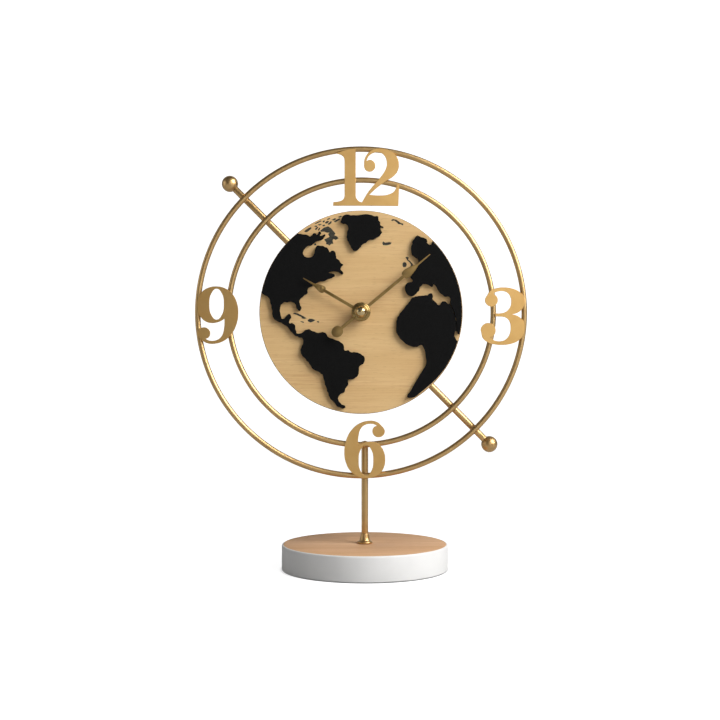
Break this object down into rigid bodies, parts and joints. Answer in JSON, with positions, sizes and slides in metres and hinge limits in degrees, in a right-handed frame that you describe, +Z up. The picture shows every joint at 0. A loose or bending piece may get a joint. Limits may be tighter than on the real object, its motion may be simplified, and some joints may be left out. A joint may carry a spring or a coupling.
{
  "type": "table clock",
  "caption": "Table clock with a raised world map on a round wood dial inside two open wire rings with sheet numerals and a diagonal ball-ended rod, on a post and round base.",
  "frame": {"origin": "on the table, straight under the middle of the rings", "axes": "+Z up, -Y out of the dial towards the viewer, +X to the viewer's right"},
  "size_m": [0.295, 0.148, 0.376],
  "materials": {
    "gold_plate": "satin gold plate on steel wire and sheet",
    "polished_brass": "polished",
    "wheel_brass": "stamped",
    "white_lacquer": "white satin lacquer on turned fibreboard",
    "wood_veneer": "light wood veneer with fine straight grain",
    "black_board": "matt black",
    "black_plastic": "fine moulded texture",
    "white_plastic": "moulded",
    "zinc_steel": "zinc plated",
    "black_rubber": "matt",
    "felt": "pressed felt",
    "copper_wire": "enamelled copper wire",
    "board_green": "solder mask",
    "battery_wrap": "plain wrap, no print",
    "magnet": "sintered"
  },
  "bodies": {
    "stand": {"post": "gold_plate", "post_collar": "gold_plate", "outer_ring": "gold_plate", "inner_ring": "gold_plate", "numeral_12": "gold_plate", "numeral_3": "gold_plate", "numeral_6": "gold_plate", "numeral_9": "gold_plate", "rod_upper": "gold_plate", "rod_lower": "gold_plate", "finial_upper": "gold_plate", "finial_lower": "gold_plate", "dial_washer": "polished_brass", "dial_nut": "polished_brass", "base_body": "white_lacquer", "base_top": "wood_veneer", "dial": "wood_veneer", "map_americas": "black_board", "map_greenland": "black_board", "map_eurasia": "black_board", "map_africa": "black_board", "movement_case": "black_plastic", "movement_cover": "black_plastic", "middle_plate": "white_plastic", "post_screw": "zinc_steel", "post_washer": "zinc_steel", "bracket_upper": "zinc_steel", "bracket_lower": "zinc_steel", "bracket_screw_1": "zinc_steel", "bracket_screw_2": "zinc_steel", "bracket_screw_3": "zinc_steel", "bracket_screw_4": "zinc_steel", "stator": "zinc_steel", "coil_core": "zinc_steel", "quartz_crystal": "zinc_steel", "contact_positive": "zinc_steel", "contact_negative": "zinc_steel", "movement_gasket": "black_rubber", "base_pad": "felt", "coil": "copper_wire", "circuit_board": "board_green", "battery": "battery_wrap"},
    "minute_hand": {"centre_arbor": "wheel_brass", "minute_hand": "gold_plate", "hub_cap": "polished_brass"},
    "hour_hand": {"hour_wheel": "wheel_brass", "hour_hand": "gold_plate"},
    "minute_wheel": {"minute_wheel": "wheel_brass"},
    "setting_knob": {"setting_knob": "black_plastic"},
    "seconds_wheel": {"seconds_wheel": "wheel_brass"},
    "third_wheel": {"third_wheel": "wheel_brass"},
    "centre_wheel": {"centre_wheel": "wheel_brass"},
    "intermediate_wheel": {"intermediate_wheel": "wheel_brass"},
    "rotor": {"rotor": "magnet"}
  },
  "joints": [
    {"name": "minute_hand_turn", "type": "hinge", "parent": "stand", "child": "minute_hand", "pos_m": [0, 0, 0.2285], "axis": [0, 1, 0], "continuous": true},
    {"name": "hour_hand_turn", "type": "hinge", "parent": "stand", "child": "hour_hand", "pos_m": [0, 0, 0.2285], "axis": [0, 1, 0], "continuous": true},
    {"name": "minute_wheel_turn", "type": "hinge", "parent": "stand", "child": "minute_wheel", "pos_m": [0.0074, 0, 0.2285], "axis": [0, 1, 0], "continuous": true},
    {"name": "setting_knob_turn", "type": "hinge", "parent": "stand", "child": "setting_knob", "pos_m": [0.01435, 0, 0.22597], "axis": [0, 1, 0], "continuous": true},
    {"name": "seconds_wheel_turn", "type": "hinge", "parent": "stand", "child": "seconds_wheel", "pos_m": [0, 0, 0.2285], "axis": [0, 1, 0], "continuous": true},
    {"name": "third_wheel_turn", "type": "hinge", "parent": "stand", "child": "third_wheel", "pos_m": [-0.005, 0, 0.23715], "axis": [0, 1, 0], "continuous": true},
    {"name": "centre_wheel_turn", "type": "hinge", "parent": "stand", "child": "centre_wheel", "pos_m": [0, 0, 0.2285], "axis": [0, 1, 0], "continuous": true},
    {"name": "intermediate_wheel_turn", "type": "hinge", "parent": "stand", "child": "intermediate_wheel", "pos_m": [0.00636, 0, 0.23296], "axis": [0, 1, 0], "continuous": true},
    {"name": "rotor_turn", "type": "hinge", "parent": "stand", "child": "rotor", "pos_m": [0.00752, 0, 0.23952], "axis": [0, 1, 0], "continuous": true}
  ],
  "couplings": [
    {"joint": "hour_hand_turn", "follows": "minute_hand_turn", "ratio": 0.083333},
    {"joint": "minute_wheel_turn", "follows": "minute_hand_turn", "ratio": -0.33333},
    {"joint": "setting_knob_turn", "follows": "minute_hand_turn", "ratio": 1},
    {"joint": "third_wheel_turn", "follows": "seconds_wheel_turn", "ratio": -0.13333},
    {"joint": "centre_wheel_turn", "follows": "seconds_wheel_turn", "ratio": 0.016667},
    {"joint": "intermediate_wheel_turn", "follows": "seconds_wheel_turn", "ratio": -6},
    {"joint": "rotor_turn", "follows": "seconds_wheel_turn", "ratio": 30}
  ]
}
